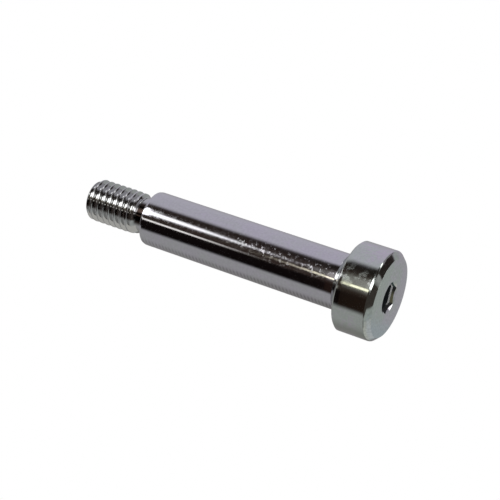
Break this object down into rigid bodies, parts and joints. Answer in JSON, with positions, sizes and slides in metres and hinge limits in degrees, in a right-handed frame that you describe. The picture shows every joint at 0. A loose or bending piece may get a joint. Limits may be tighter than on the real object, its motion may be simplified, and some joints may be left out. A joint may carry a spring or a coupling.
{
  "type": "socket head shoulder screw",
  "caption": "Bright plated steel shoulder screw: round head with hexagon socket and bevelled face, long ground shoulder that a part turns on, thread relief and short metric thread.",
  "frame": {"origin": "centre of the head face, on the surface that the screw stands on", "axes": "+Z along the screw's axis from the head face to the thread's tip; +X 15 degrees round from a corner of the hexagon socket"},
  "size_m": [0.016, 0.016, 0.0597],
  "materials": {
    "plated_steel": "bright zinc plate over ground and turned steel"
  },
  "bodies": {
    "root": {"shoulder_screw": "plated_steel"}
  },
  "joints": []
}
